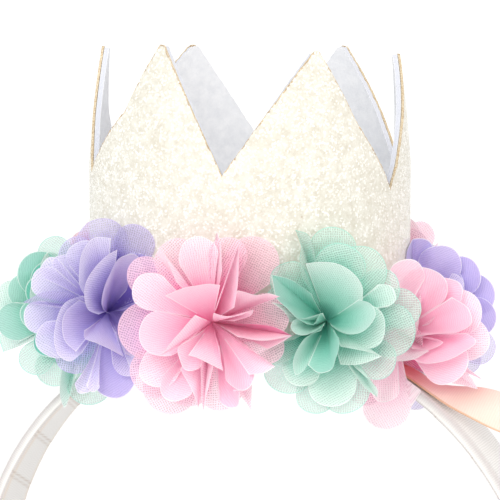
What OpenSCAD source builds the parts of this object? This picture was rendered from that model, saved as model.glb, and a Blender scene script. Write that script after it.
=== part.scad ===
// Mini crown headband: a small six-peaked crown of glitter fabric and felt stands on a satin
// headband, with a ring of ten folded chiffon flowers round its foot and a bare satin label.
// The headband stands on its two leg ends. +Z is up, -Y is the front and +X is the right.
// Azimuths turn from the front towards the right, so 0 is the front and 90 the right side.

/* [Headband] */
// Width inside the arch, from side to side
arch_inner_w = 132; // [122:1:145]
// Width of the band, from its front edge to its back edge
band_w = 16; // [12:0.5:20]
// Thickness of the satin-covered band
band_t = 2.6; // [2:0.1:3.5]
// Height of the arch's centre above the leg ends
leg_h = 57; // [45:1:70]
// Radius that each leg curves inward with
leg_curve_r = 150; // [110:5:300]

/* [Crown] */
// Outer diameter of the crown's foot
crown_d = 72; // [66:1:80]
// Distance of the crown's axis to the left of the headband's centre
crown_off = 2.5; // [0:0.5:4]
// Height from the crown's foot to the middle valley
wall_h = 34.5; // [28:0.5:42]
// Height of a middle peak above a middle valley
peak_h = 26.5; // [20:0.5:34]
// Distance that the peaks lean inward at their tips
lean = 3; // [0:0.5:5]
// Thickness of the glitter fabric
shell_t = 1; // [1:0.1:1.5]
// Thickness of the felt lining
lining_t = 1.4; // [1:0.1:2]
// Width of a peak's blunt tip
tip_w = 0.8; // [0.4:0.1:2]

/* [Crown base] */
// Thickness of the disc that closes the crown's foot
base_t = 2.5; // [2:0.5:4]
// Length of the saddle under the disc, along the band
saddle_l = 44; // [30:1:52]
// Width of the saddle, across the band
saddle_w = 14; // [10:1:20]

/* [Flowers] */
// Diameter of an open flower
flower_d = 41; // [34:1:45]
// Diameter of the stitched hub behind a flower
hub_d = 9; // [7:0.5:11]
// Thickness of the hub
hub_t = 2; // [1.5:0.25:3]
// Thickness of a folded chiffon petal
petal_t = 1; // [1:0.1:1.5]
// Width of a petal at its widest
petal_w = 13; // [9:0.5:15]
// Depth of a petal's fold, as a share of its half width
petal_cup = 0.45; // [0.2:0.05:0.7]

/* [Label] */
// Width of the satin label
label_w = 8.6; // [7:0.2:11]
// Thickness of the label
label_t = 1; // [1:0.1:1.5]
// Reach of the label, measured along the band
label_run = 34; // [26:1:38]

/* [Clearances] */
// Gap between pieces that are stitched or glued face to face
seat_gap = 0.15; // [0.1:0.05:0.3]
// Gap between soft pieces that lie side by side
soft_gap = 0.4; // [0.3:0.1:0.8]

/* [Hidden] */
$fn = 96;

MINT = "#7cccb8";
LAVENDER = "#b9abe6";
PINK = "#fbc4d6";

// Peaks and valleys, going round from the front peak on the left. Each tip's height is a
// share of wall_h + peak_h, each valley's a share of wall_h. The bows cut into the middle of
// the flank before and after the valley, as shares of the flank's width.
//        tip azimuth, tip height, next valley's azimuth, valley height, bow before, bow after
PEAKS = [[-14, 1.02, 10.6, 1.014, 0, 0],
         [45, 0.998, 77.6, 0.90, 0.11, 0],
         [112, 0.982, 128, 1.0, 0, 0],
         [158, 1.004, 194, 1.06, 0, 0],
         [224, 1.006, 262, 1.0, 0, 0.15],
         [285, 1.008, 304, 0.977, 0, 0.2]];

// How the wall leans inward, going up. Height is a share of peak_h above the middle valley
// and inward a share of lean.
//       height, inward
LEAN = [[0.05, 0], [0.45, 0.3], [1.1, 1.0]];

// Flowers, going round from the left. The hub's height above the crown's foot is a share of
// hub_d, spin turns the petals in the flower's face and droop tips the face downwards.
//          azimuth, hub height, spin, droop, colour
FLOWERS = [[-69, 0.25, 12, 6, MINT],
           [-34, 0.70, -8, 0, LAVENDER],
           [6, 0.50, 0, 0, PINK],
           [43.5, 0.46, 24, 0, MINT],
           [80, -0.05, -4, 6, PINK],
           [115, 0.15, 16, 4, LAVENDER],
           [150, 0.45, 8, 0, PINK],
           [185, 0.50, -14, 0, MINT],
           [220.5, 0.50, 5, 0, LAVENDER],
           [256, 0.30, 18, 4, PINK]];

// Petals of one flower: an outer ring, a middle ring and a pair in the heart. Direction turns
// from straight up towards the right, rise lifts the petal from the flower's face, and the
// sizes are shares of flower_d / 2 and of petal_w.
//         direction, rise, length, width
PETALS = [[0, 14, 1.0, 1.0],
          [50, 24, 0.96, 1.0],
          [103, 34, 0.92, 1.0],
          [155, 24, 0.98, 1.0],
          [205, 22, 1.0, 1.0],
          [257, 34, 0.93, 1.0],
          [310, 24, 0.98, 1.0],
          [28, 50, 1.0, 0.92],
          [118, 55, 1.0, 0.92],
          [200, 50, 1.0, 0.92],
          [290, 56, 1.0, 0.92],
          [75, 78, 1.0, 0.8],
          [250, 74, 0.97, 0.8]];

// Outline of a petal from root to rounded tip, as shares of its length and half width
//                place along, half width
PETAL_OUTLINE = [[0.05, 0.26],
                 [0.40, 0.74],
                 [0.70, 1.0],
                 [0.90, 0.80],
                 [1.0, 0.34]];

// Label from the end that is glued under a flower to its free end. Run is a share of
// label_run, lift a share of label_w above the band's face, and twist turns the label
// from lying flat on the band to standing upright.
//        run, lift, twist
LABEL = [[0, 0, 0],
         [0.17, 0, 0],
         [0.34, 0.06, 4],
         [0.47, 0.26, 22],
         [0.60, 0.56, 44],
         [0.72, 0.84, 62],
         [0.82, 1.10, 71],
         [0.91, 1.25, 75],
         [1.0, 1.23, 78]];
// Angle of the label's glued end from the top of the arch
label_start = 27;
// How far the label lies forward of the band's middle, as a share of band_w
label_front_share = 0.15;

// Least rise of a petal that hangs over the band
band_rise = 60;
// A petal hangs when this share of its reach points down, and hangs over the band when its
// tip lies within this share of petal_w from the band's edge
hang_least = 0.3;
hang_side = 0.33;
// Height of the petals' seat on the hub, as a share of hub_t
petal_seat = 0.6;
// Distance of a petal's root from the hub's axis, as a share of petal_t
petal_root = 0.4;
// Strips across a petal
petal_columns = 3;
// Height of the sector that a flower fills, in flower diameters
room_tall = 3;
// How far a notch's flanks run on past the tips, from the middle of the flank
notch_past = 1.8;
// Drop that levels a tip, as a share of peak_h
tip_level = 0.012;
// How far the cuts reach past the wall, as a share of crown_r
cut_past = 0.15;

arch_r = arch_inner_w / 2;
arch_out_r = arch_r + band_t;
arch_top = leg_h + arch_out_r;
crown_r = crown_d / 2;
lining_r = crown_r - shell_t - seat_gap;
base_r = lining_r - lining_t - seat_gap;
foot_z = arch_top + seat_gap;
crown_h = wall_h + peak_h;
hub_r = hub_d / 2;
hub_back_r = sqrt(crown_r * crown_r - hub_r * hub_r);
petal_reach = flower_d / 2;

// Direction of an azimuth, seen from above
function toward(azimuth) = [sin(azimuth), -cos(azimuth)];

// Puts its children, drawn at the front of the crown's axis, at an azimuth
module at_azimuth(azimuth) {
    translate([-crown_off, 0, 0]) rotate([0, 0, azimuth]) children();
}

// Upper half ring and two curved legs, as deep in Y as asked and grown by a clearance
module band_solid(depth, grow) {
    translate([0, depth / 2, leg_h]) rotate([90, 0, 0]) {
        intersection() {
            difference() {
                cylinder(r = arch_out_r + grow, h = depth);
                translate([0, 0, -depth / 2]) cylinder(r = arch_r - grow, h = 2 * depth);
            }
            translate([-2 * arch_out_r, 0, 0]) cube([4 * arch_out_r, 2 * arch_out_r, depth]);
        }
        for (side = [0, 1]) mirror([side, 0, 0]) leg(depth, grow);
    }
}

module leg(depth, grow) {
    leg_x = arch_r - leg_curve_r;
    intersection() {
        translate([leg_x, 0, 0]) difference() {
            cylinder(r = leg_curve_r + band_t + grow, h = depth, $fn = 180);
            translate([0, 0, -depth / 2])
                cylinder(r = leg_curve_r - grow, h = 2 * depth, $fn = 180);
        }
        translate([0, -leg_h, 0]) cube([2 * arch_out_r, leg_h, depth]);
    }
}

module headband() {
    color("#f4f4f1") band_solid(band_w, 0);
}

// Disc inside the crown's foot, with a saddle that fits the top of the band
module crown_base() {
    color("#eceaf0") difference() {
        union() {
            at_azimuth(0) translate([0, 0, foot_z]) cylinder(r = base_r, h = base_t);
            translate([-crown_off - saddle_l / 2, -saddle_w / 2, foot_z - saddle_drop()])
                cube([saddle_l, saddle_w, saddle_drop() + base_t / 2]);
        }
        translate([0, saddle_w, leg_h]) rotate([90, 0, 0])
            cylinder(r = arch_out_r + seat_gap, h = 2 * saddle_w);
    }
}

// Drop of the band's face between the top of the arch and the far end of the saddle
function saddle_drop() =
    arch_out_r - sqrt(arch_out_r * arch_out_r - pow(saddle_l / 2 + crown_off, 2));

// Round wall that stands straight up to the valleys and leans inward above them
module leaning_wall(outer_r, wall_t) {
    outer = [for (row = LEAN) [outer_r - row[1] * lean, wall_h + row[0] * peak_h]];
    rows = len(outer);
    translate([-crown_off, 0, foot_z]) rotate_extrude() polygon(concat(
        [[outer_r, 0]],
        outer,
        [for (i = [rows - 1 : -1 : 0]) outer[i] - [wall_t, 0]],
        [[outer_r - wall_t, 0]]));
}

// Points of one flank of a notch: the bowed middle and the end past the tip
function flank(tip_x, valley_z, tip_z, bow) =
    let (tip = [tip_x, tip_z], middle = [tip_x * (0.5 + bow), (valley_z + tip_z) / 2])
    [middle, middle + (tip - middle) * notch_past];

// Notch between two peaks: a flat-sided wedge that runs out through both flanks
module notch(valley_az, valley_z, left_az, left_z, left_bow, right_az, right_z, right_bow) {
    tip_r = crown_r - lean;
    left_x = -tip_r * sin(valley_az - left_az) + tip_w / 2;
    right_x = tip_r * sin(right_az - valley_az) - tip_w / 2;
    left = flank(left_x, valley_z, left_z, left_bow);
    right = flank(right_x, valley_z, right_z, right_bow);
    at_azimuth(valley_az) translate([0, 0, foot_z]) rotate([90, 0, 0])
        linear_extrude(crown_r * (1 + cut_past))
            polygon([[0, valley_z], right[0], right[1], left[1], left[0]]);
}

// Cuts each tip level at its own height
module tip_cut(tip_az, tip_z) {
    side = crown_r * cut_past;
    at_azimuth(tip_az) translate([-side / 2, -crown_r - side, foot_z + tip_z])
        cube([side, 2 * side + lean, crown_h]);
}

module peak_cuts() {
    last = len(PEAKS) - 1;
    for (i = [0 : last]) {
        here = PEAKS[i];
        next = PEAKS[i == last ? 0 : i + 1];
        next_az = next[0] + (i == last ? 360 : 0);
        notch(here[2], here[3] * wall_h, here[0], here[1] * crown_h, here[4],
              next_az, next[1] * crown_h, here[5]);
        tip_cut(here[0], here[1] * crown_h - tip_level * peak_h);
    }
}

module crown_shell() {
    color("#f7f1e3") difference() {
        leaning_wall(crown_r, shell_t);
        peak_cuts();
    }
}

module crown_lining() {
    color("#e6e6ee") difference() {
        leaning_wall(lining_r, lining_t);
        peak_cuts();
    }
}

// One folded petal, drawn flat in X (across) and Y (along) and cupped towards +Z
function petal_point(row, column, face, reach, half_w) =
    let (across = -1 + 2 * column / petal_columns)
    [half_w * row[1] * across,
     petal_root * petal_t * (1 - row[0]) + reach * row[0],
     petal_cup * half_w * row[1] * across * across + face * petal_t];

module petal(reach, width) {
    rows = len(PETAL_OUTLINE);
    columns = petal_columns + 1;
    back = rows * columns;
    points = [for (face = [0.5, -0.5]) for (row = PETAL_OUTLINE) for (column = [0 : petal_columns])
        petal_point(row, column, face, reach, width / 2)];
    top = [for (i = [0 : rows - 2]) for (j = [0 : columns - 2])
        let (a = i * columns + j) each [[a, a + columns, a + columns + 1], [a, a + columns + 1, a + 1]]];
    bottom = [for (face = top) [face[2] + back, face[1] + back, face[0] + back]];
    rim = concat(
        [for (j = [0 : columns - 1]) j],
        [for (i = [1 : rows - 1]) i * columns + columns - 1],
        [for (j = [columns - 2 : -1 : 0]) (rows - 1) * columns + j],
        [for (i = [rows - 2 : -1 : 1]) i * columns]);
    sides = [for (k = [0 : len(rim) - 1])
        let (a = rim[k], b = rim[(k + 1) % len(rim)])
        each [[a, b, b + back], [a, b + back, a + back]]];
    polyhedron(points, concat(top, bottom, sides));
}

// True where a petal's tip would come down on the band, which crosses under the crown
function over_band(azimuth, direction) =
    let (tip_y = -crown_r * cos(azimuth) + petal_reach * sin(direction) * sin(azimuth),
         tip_x = crown_r * abs(sin(azimuth)))
    cos(direction) < -hang_least && tip_x > crown_r / 2
        && abs(tip_y) < band_w / 2 + petal_w * hang_side;

// Hub and knot with all their petals. The hub's own face is X across, Y up and Z outward.
module bloom(azimuth, spin) {
    cylinder(r = hub_r, h = hub_t, $fn = 12);
    cylinder(r = hub_r / 2, h = 2 * hub_t, $fn = 8);
    for (row = PETALS) {
        direction = row[0] + spin;
        rise = over_band(azimuth, direction) ? max(row[1], band_rise) : row[1];
        translate([0, 0, hub_t * petal_seat]) rotate([0, 0, -direction]) rotate([rise, 0, 0])
            petal(petal_reach * row[2], petal_w * row[3]);
    }
}

// Sector of the ring that belongs to a flower, from the crown's wall outwards
module flower_room(left_az, right_az) {
    far = crown_r + flower_d;
    tall = room_tall * flower_d;
    side_gap = asin(soft_gap / 2 / crown_r);
    translate([-crown_off, 0, foot_z - tall / 2]) difference() {
        linear_extrude(tall) polygon([
            [0, 0],
            far * toward(left_az + side_gap),
            far * toward((left_az + right_az) / 2),
            far * toward(right_az - side_gap)
        ]);
        translate([0, 0, -tall / 2]) cylinder(r = crown_r + seat_gap, h = 2 * tall);
    }
}

module flower(index) {
    last = len(FLOWERS) - 1;
    here = FLOWERS[index];
    left_az = FLOWERS[index == 0 ? last : index - 1][0] - (index == 0 ? 360 : 0);
    right_az = FLOWERS[index == last ? 0 : index + 1][0] + (index == last ? 360 : 0);
    color(here[4]) difference() {
        intersection() {
            at_azimuth(here[0]) translate([0, -hub_back_r, foot_z + here[1] * hub_d])
                rotate([90 + here[3], 0, 0]) bloom(here[0], here[2]);
            flower_room((left_az + here[0]) / 2, (right_az + here[0]) / 2);
        }
        band_solid(band_w + 2 * soft_gap, label_t + 2 * soft_gap);
    }
}

// Cross-section of the label at one row: its four corners, from the centre line and the twist
function label_angle(row) = label_start + row[0] * label_run / arch_out_r * 180 / PI;
function label_centre(row) =
    let (angle = label_angle(row), r = arch_out_r + seat_gap + label_t / 2 + row[1] * label_w)
    [r * sin(angle), -label_front_share * band_w, leg_h + r * cos(angle)];
function label_slope(i) =
    let (a = label_centre(LABEL[max(i - 1, 0)]), b = label_centre(LABEL[min(i + 1, len(LABEL) - 1)]))
    atan2(a[2] - b[2], b[0] - a[0]);
function label_corner(i, across, face) =
    let (slope = label_slope(i),
         up = [sin(slope), 0, cos(slope)],
         twist = LABEL[i][2],
         side = [0, cos(twist), 0] + sin(twist) * up,
         outward = cos(twist) * up - [0, sin(twist), 0])
    label_centre(LABEL[i]) + across * label_w * side + face * label_t * outward;

module label() {
    last = len(LABEL) - 1;
    corners = [[-0.5, -0.5], [0.5, -0.5], [0.5, 0.5], [-0.5, 0.5]];
    points = [for (i = [0 : last]) for (corner = corners) label_corner(i, corner[0], corner[1])];
    sides = [for (i = [0 : last - 1]) for (k = [0 : 3])
        let (a = 4 * i + k, b = 4 * i + (k + 1) % 4)
        each [[a, b, b + 4], [a, b + 4, a + 4]]];
    ends = [[0, 3, 2], [0, 2, 1], [4 * last, 4 * last + 1, 4 * last + 2],
            [4 * last, 4 * last + 2, 4 * last + 3]];
    color("#f6dccf") polyhedron(points, concat(sides, ends));
}

headband();
crown_base();
crown_shell();
crown_lining();
label();
for (i = [0 : len(FLOWERS) - 1])
    flower(i);
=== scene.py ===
import bmesh
import bpy
import numpy as np
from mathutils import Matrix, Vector


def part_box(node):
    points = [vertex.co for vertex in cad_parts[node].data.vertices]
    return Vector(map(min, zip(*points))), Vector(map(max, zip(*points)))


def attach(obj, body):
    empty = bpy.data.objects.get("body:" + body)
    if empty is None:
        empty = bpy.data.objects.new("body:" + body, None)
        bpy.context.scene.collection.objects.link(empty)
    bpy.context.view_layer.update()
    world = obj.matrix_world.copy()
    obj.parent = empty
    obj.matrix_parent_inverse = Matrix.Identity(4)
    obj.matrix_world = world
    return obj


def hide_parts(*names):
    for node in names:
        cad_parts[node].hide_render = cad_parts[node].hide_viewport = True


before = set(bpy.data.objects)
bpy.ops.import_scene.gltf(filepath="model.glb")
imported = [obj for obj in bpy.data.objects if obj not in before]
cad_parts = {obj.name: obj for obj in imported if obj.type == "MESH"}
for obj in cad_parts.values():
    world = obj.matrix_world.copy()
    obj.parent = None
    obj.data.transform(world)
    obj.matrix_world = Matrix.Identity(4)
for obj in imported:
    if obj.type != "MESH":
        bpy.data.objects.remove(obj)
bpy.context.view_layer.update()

# Camera and studio
# A long lens looks from the right of the front, from a little above the crown's tips. Floor and sky
# are white, and soft light comes from a large panel in front, a warm one on the right and one behind.
MM = 0.001
crown_lo, crown_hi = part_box("crown_shell")
axis_x = (crown_lo.x + crown_hi.x) / 2
crown_r = (crown_hi.x - crown_lo.x) / 2
foot_z = crown_lo.z

view_azimuth = np.radians(20.0)
view_distance = 509.3 * MM
view_height = 195.2 * MM
view_pitch = np.radians(6.03)
lens_mm = 163.8
sensor_mm = 36.0


def outward(azimuth):
    """Unit vector along the floor at an azimuth in radians, which is its sine along X and minus its
    cosine along Y: 0 is the front, and a quarter turn is the right side."""
    azimuth = np.asarray(azimuth, float)
    return np.stack([np.sin(azimuth), -np.cos(azimuth), 0 * azimuth], axis=-1)


def place_looking(thing, place, target):
    """Puts a camera or a light at a place and turns it to look at a target."""
    thing.location = place
    thing.rotation_euler = (Vector(target) - Vector(place)).to_track_quat("-Z", "Y").to_euler()


camera_place = outward(view_azimuth) * view_distance + [axis_x, 0, view_height]
camera_aim = camera_place - outward(view_azimuth) - [0, 0, np.tan(view_pitch)]
camera = bpy.data.objects.new("camera", bpy.data.cameras.new("camera"))
bpy.context.scene.collection.objects.link(camera)
camera.data.lens = lens_mm
camera.data.sensor_width = sensor_mm
place_looking(camera, camera_place, camera_aim)
bpy.context.scene.camera = camera
bpy.context.scene.view_settings.view_transform = "Standard"
# A look through a flower passes many sheets of chiffon
bpy.context.scene.cycles.transparent_max_bounces = 40


def colour(code):
    """Linear RGBA of an sRGB hex value such as #ffeedd, by the sRGB curve: a straight line near black,
    and above that a power of 2.4."""
    srgb = np.array([int(code[i:i + 2], 16) for i in (1, 3, 5)]) / 255
    linear = np.where(srgb <= 0.04045, srgb / 12.92, ((srgb + 0.055) / 1.055) ** 2.4)
    return (*linear.tolist(), 1.0)


def add_node(tree, kind, inputs=None, **settings):
    """Adds a shader node, sets its settings, and sets or links its inputs; gives its outputs."""
    made = tree.nodes.new("ShaderNode" + kind)
    for name, value in settings.items():
        setattr(made, name, value)
    for name, value in (inputs or {}).items():
        if isinstance(value, bpy.types.NodeSocket):
            tree.links.new(value, made.inputs[name])
        else:
            made.inputs[name].default_value = value
    return made.outputs


def new_material(name):
    """An empty node material and its node tree."""
    material = bpy.data.materials.new(name)
    material.use_nodes = True
    material.node_tree.nodes.clear()
    return material, material.node_tree


def add_light(name, place, size, power, tint):
    """A square soft light of a size in metres and a power in watts, turned to the crown's foot."""
    light = bpy.data.objects.new(name, bpy.data.lights.new(name, "AREA"))
    light.data.size = size
    light.data.energy = power
    light.data.color = colour(tint)[:3]
    bpy.context.scene.collection.objects.link(light)
    place_looking(light, place, (axis_x, 0, foot_z))


add_light("key_panel", place=(-0.1, -1.65, 1.1), size=1.1, power=19, tint="#fffdf8")
add_light("fill_panel", place=(1.5, -0.7, 0.9), size=1.2, power=6.5, tint="#fff2e2")
add_light("back_panel", place=(0.3, 1.6, 1.4), size=1.2, power=11, tint="#ffffff")

# The sky is pure white at the horizon, which stands behind the object, and softer above
world = bpy.data.worlds.new("studio")
world.use_nodes = True
world.node_tree.nodes.clear()
sky = world.node_tree
sky_way = add_node(sky, "TexCoord")["Generated"]
sky_rise = add_node(sky, "SeparateXYZ", {"Vector": sky_way})["Z"]
sky_light = add_node(sky, "MapRange", {"Value": sky_rise, "From Min": 0.12, "From Max": 0.45,
                                       "To Min": 1.15, "To Max": 0.7})["Result"]
sky_shader = add_node(sky, "Background", {"Color": (1, 1, 1, 1), "Strength": sky_light})
add_node(sky, "OutputWorld", {"Surface": sky_shader["Background"]})
bpy.context.scene.world = world


def grid_quads(rows, columns, around=False):
    """Corners of the quads of a grid whose points are numbered row by row. around joins its last column
    to its first."""
    index = np.arange(rows * columns).reshape(rows, columns)
    if around:
        index = np.concatenate([index, index[:, :1]], axis=1)
    corners = [index[:-1, :-1], index[:-1, 1:], index[1:, 1:], index[1:, :-1]]
    return np.stack(corners, -1).reshape(-1, 4)


def make_piece(name, points, quads, material, flat=None, marks=None, closed=False, sharp=None):
    """A mesh object at the origin. points are (n, 3) in metres, flat gives each point's place on the
    flat cloth in metres as its UV map, marks are named values at the points, closed merges the points
    of the poles and seams, and edges sharper than sharp degrees are kept sharp."""
    mesh = bpy.data.meshes.new(name)
    mesh.from_pydata(points.tolist(), [], quads.tolist())
    mesh.polygons.foreach_set("use_smooth", np.ones(len(quads), bool))
    if flat is not None:
        uv = mesh.uv_layers.new(name="flat")
        uv.data.foreach_set("uv", flat[quads].ravel())
    for mark, values in (marks or {}).items():
        attribute = mesh.attributes.new(mark, "FLOAT", "POINT")
        attribute.data.foreach_set("value", np.ravel(values).astype(float))
    if closed:
        shape = bmesh.new()
        shape.from_mesh(mesh)
        bmesh.ops.remove_doubles(shape, verts=shape.verts, dist=0.001 * MM)
        shape.to_mesh(mesh)
        shape.free()
    if sharp is not None:
        mesh.set_sharp_from_angle(angle=np.radians(sharp))
    mesh.materials.append(material)
    piece = bpy.data.objects.new(name, mesh)
    bpy.context.scene.collection.objects.link(piece)
    return piece


# The floor is a round sheet of uncoated white paper, which is matt, with a faint grain
floor_r = 700 * MM
floor_rings = 12
floor_columns = 72
grain_size = 1.11 * MM
paper, tree = new_material("uncoated_paper_white")
paper_place = add_node(tree, "TexCoord")["Object"]
grain = add_node(tree, "TexNoise", {"Vector": paper_place, "Scale": 1 / grain_size})["Fac"]
paper_bump = add_node(tree, "Bump", {"Height": grain, "Strength": 0.05, "Distance": 0.2 * MM})["Normal"]
paper_shader = add_node(tree, "BsdfPrincipled", {"Base Color": colour("#f7f7f7"), "Roughness": 0.9,
                                                 "Specular IOR Level": 0.2, "Normal": paper_bump})
add_node(tree, "OutputMaterial", {"Surface": paper_shader["BSDF"]})
ring_r = floor_r * np.linspace(0.001, 1, floor_rings)[:, None, None]
ring = ring_r * outward(-np.linspace(0, 2 * np.pi, floor_columns, endpoint=False))[None]
floor = make_piece("floor", ring.reshape(-1, 3), grid_quads(floor_rings, floor_columns, around=True), paper)

# Headband
# A plastic band, bent to an arch with legs that curve inward a little. White satin ribbon is
# wound round it edge over edge, so a low step crosses the band at every turn of the ribbon.
band_lo, band_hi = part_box("headband")
# the CAD band's thickness and its legs' inner radius, which its box doesn't tell
band_t = 2.6 * MM
leg_r = 150 * MM + band_t / 2
band_w = band_hi.y - band_lo.y
arch_r = band_hi.x - band_t / 2
leg_h = band_hi.z - band_hi.x
# corner radius of the band's section, and how far apart the rows of points along the band are
band_corner = 0.8 * MM
row_gap = 0.4 * MM
# the ribbon goes on by one pitch for each turn, and most of that on its way over the inner face
ribbon_pitch = 12 * MM
inner_share = 0.66
# a fold meets the left leg's front edge at this run from the top of the arch
fold_run = 59.5 * MM
# height of the step at a fold, the share of a turn in which it rises, the power by which it eases down
# over the rest of the turn, and what the outer face has of it
ribbon_step = 0.1 * MM
step_share = 0.05
ease_power = 0.7
outer_swell = 0.3


def band_line(run):
    """Middle line of the band at a run from the top of the arch: a circle of arch_r to the side, and
    then a circle of leg_r that meets it there. Gives the points and the normals away from the head."""
    side = np.sign(run)
    quarter = arch_r * np.pi / 2
    on_arch = np.minimum(np.abs(run), quarter) / arch_r
    on_leg = np.maximum(np.abs(run) - quarter, 0) / leg_r
    turn = on_arch + on_leg
    normal = np.stack([side * np.sin(turn), 0 * turn, np.cos(turn)], -1)
    r = np.where(on_leg > 0, leg_r, arch_r)[:, None]
    centre = np.stack([np.where(on_leg > 0, side * (arch_r - leg_r), 0), 0 * turn, leg_h + 0 * turn], -1)
    return centre + r * normal, normal


def rounded_section(width, thickness, corner, turns=6, flats=13):
    """A rectangle whose corners are quarter circles, from the middle of its front end. Gives its points
    as places along the width and along the thickness; the second half is the first, turned half round."""
    half_w, half_t = width / 2 - corner, thickness / 2 - corner
    angle = np.linspace(0, np.pi / 2, turns)
    arc = corner * np.stack([np.cos(angle), np.sin(angle)], -1)
    spread = np.linspace(half_w, -half_w, flats)[1:-1]
    top = np.stack([spread, 0 * spread + thickness / 2], -1)
    upper = np.concatenate([arc + [half_w, half_t], top, (arc * [-1, 1])[::-1] + [-half_w, half_t]])
    return np.concatenate([upper, -upper])


section = rounded_section(band_w, band_t, band_corner)
across, through = section.T
section_run = np.concatenate([[0], np.cumsum(np.linalg.norm(np.diff(section, axis=0), axis=1))])
girth = section_run[-1] + np.linalg.norm(section[0] - section[-1])
half_run = arch_r * np.pi / 2 + leg_r * np.arcsin(leg_h / leg_r)
runs = np.linspace(-half_run, half_run, int(2 * half_run / row_gap))
middle, away = band_line(runs)
# The ribbon goes once round the band for each pitch, and its edge lies on the turn before
outer_face = np.clip(section_run / (girth / 2), 0, 1) * (1 - inner_share)
inner_face = np.clip(section_run / (girth / 2) - 1, 0, 1) * inner_share
turns_done = (outer_face + inner_face)[None] - (runs[:, None] + fold_run) / ribbon_pitch
part = turns_done - np.floor(turns_done)
step_up = np.clip(part / step_share, 0, 1)
ease_down = np.clip((part - step_share) / (1 - step_share), 0, 1) ** ease_power
swell = ribbon_step * (step_up - ease_down) * np.where(through < 0, 1, outer_swell)[None]
section_out = np.stack([np.gradient(through), -np.gradient(across)], -1)
section_out /= -np.linalg.norm(section_out, axis=1, keepdims=True)
laid = section[None] + swell[..., None] * section_out[None]
band_points = middle[:, None] + laid[..., 1:] * away[:, None] - laid[..., :1] * np.array([0, 1.0, 0])
band_points[..., 2] = np.maximum(band_points[..., 2], 0)
# The ribbon's end is folded flat under each leg
leg_ends = np.repeat(band_points[[0, -1]].mean(axis=1, keepdims=True) * [1, 1, 0], len(section), axis=1)
band_points = np.concatenate([leg_ends[:1], band_points, leg_ends[1:]])
all_runs = np.concatenate([runs[:1], runs, runs[-1:]])
band_flat = np.stack(np.broadcast_arrays(all_runs[:, None], section_run[None]), -1)


def soft_peak(values, middle, width):
    """1 at the middle and less on both sides, like a bell: e to minus the square of distance over width."""
    return np.exp(-((values - middle) / width) ** 2)


from_front = band_w / 2 - across
from_side = band_w / 2 - np.abs(across)
edge_w = 0.9 * MM
inner_corner_w = 0.5 * MM
# At a fold the inner face shows the ribbon's edge as a darker line, with painted shade in the dent beside
# it, and the outer face hides them
inner_start = -0.8 * MM
fold_outer_share = 0.06
from_fold = part * ribbon_pitch
fold_line = soft_peak(from_fold, middle=0.3 * MM, width=0.22 * MM)
fold_dent = soft_peak(from_fold, middle=1.5 * MM, width=0.25 * MM)
fold_mark = (fold_line + 0.7 * fold_dent) * np.where(through < inner_start, 1, fold_outer_share)[None]
fold_mark = np.concatenate([fold_mark[:1], fold_mark, fold_mark[-1:]])
# A tan line runs along both sides of the inner face
tan_line_mark = soft_peak(from_side, middle=1.2 * MM, width=0.6 * MM) * (through < 0)
# Painted highlight: the edges are painted bright, which hides their ribs. Painted shade: the front edge is
# darker at its corners, where its faces turn away from the light
edge_highlight_mark = soft_peak(through, middle=-0.25 * MM, width=0.4 * MM) * (from_side < edge_w)
outer_corner = soft_peak(through, middle=band_t / 2 - 0.45 * MM, width=0.5 * MM) * (from_front < edge_w)
inner_corner = soft_peak(through, middle=0.3 * MM - band_t / 2, width=0.25 * MM)
corner_shade_mark = np.maximum(outer_corner, inner_corner * (from_front < inner_corner_w))
band_marks = {"fold": fold_mark, "tan_line": tan_line_mark, "edge_highlight": edge_highlight_mark, "corner_shade": corner_shade_mark}
band_marks = {mark: np.broadcast_to(values, fold_mark.shape) for mark, values in band_marks.items()}

# White polyester satin ribbon, woven with fine ribs across the band, which give it a soft silky sheen.
# The ribs are drawn at 0.5 mm, twice as coarse as the real ones, so that they show.
rib_pitch = 0.5 * MM
unevenness_size = 3.85 * MM
satin_white, tree = new_material("satin_ribbon_white")
flat_place = add_node(tree, "UVMap", uv_map="flat")["UV"]
along = add_node(tree, "SeparateXYZ", {"Vector": flat_place})["X"]
unevenness = add_node(tree, "TexNoise", {"Vector": flat_place, "Scale": 1 / unevenness_size,
                                         "Detail": 2.0})["Fac"]
rib_phase = add_node(tree, "Math", {0: along, 1: 2 * np.pi / rib_pitch}, operation="MULTIPLY")[0]
rib_bend = add_node(tree, "Math", {0: unevenness, 1: 9.0, 2: rib_phase}, operation="MULTIPLY_ADD")[0]
ribs = add_node(tree, "Math", {0: rib_bend}, operation="SINE")[0]
folds, tan_line, edge_highlight, corner_shade = [add_node(tree, "Attribute", attribute_name=mark)["Fac"] for mark in band_marks]
rib_tint = add_node(tree, "MapRange", {"Value": ribs, "From Min": -1.0})[0]
satin = add_node(tree, "Mix", {"Factor": rib_tint, "A": colour("#d2d0cd"), "B": colour("#e4e3e1")},
                 data_type="RGBA")["Result"]
corner_shade_share = add_node(tree, "Math", {0: corner_shade, 1: 0.7}, operation="MULTIPLY")[0]
fold_share = add_node(tree, "Math", {0: folds, 1: 0.75}, operation="MULTIPLY")[0]
# over the ribs go a painted highlight along the edges and painted shade at the front edge's corners
satin_layers = [(edge_highlight, "#f2f1ef"), (corner_shade_share, "#b9b2b3"), (tan_line, "#d8c6b4"), (fold_share, "#ab9a8c")]
for share, code in satin_layers:
    satin = add_node(tree, "Mix", {"Factor": share, "A": satin, "B": colour(code)},
                     data_type="RGBA")["Result"]
rib_bump = add_node(tree, "Bump", {"Height": ribs, "Strength": 0.16, "Distance": 0.05 * MM})["Normal"]
satin_shader = add_node(tree, "BsdfPrincipled", {"Base Color": satin, "Roughness": 0.42,
                                                 "Sheen Weight": 0.15, "Normal": rib_bump})
add_node(tree, "OutputMaterial", {"Surface": satin_shader["BSDF"]})

band_quads = grid_quads(len(all_runs), len(section), around=True)
band = make_piece("headband_satin", band_points.reshape(-1, 3), band_quads, satin_white,
                  flat=band_flat.reshape(-1, 2), marks=band_marks, closed=True)
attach(band, "root")
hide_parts("headband")

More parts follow.
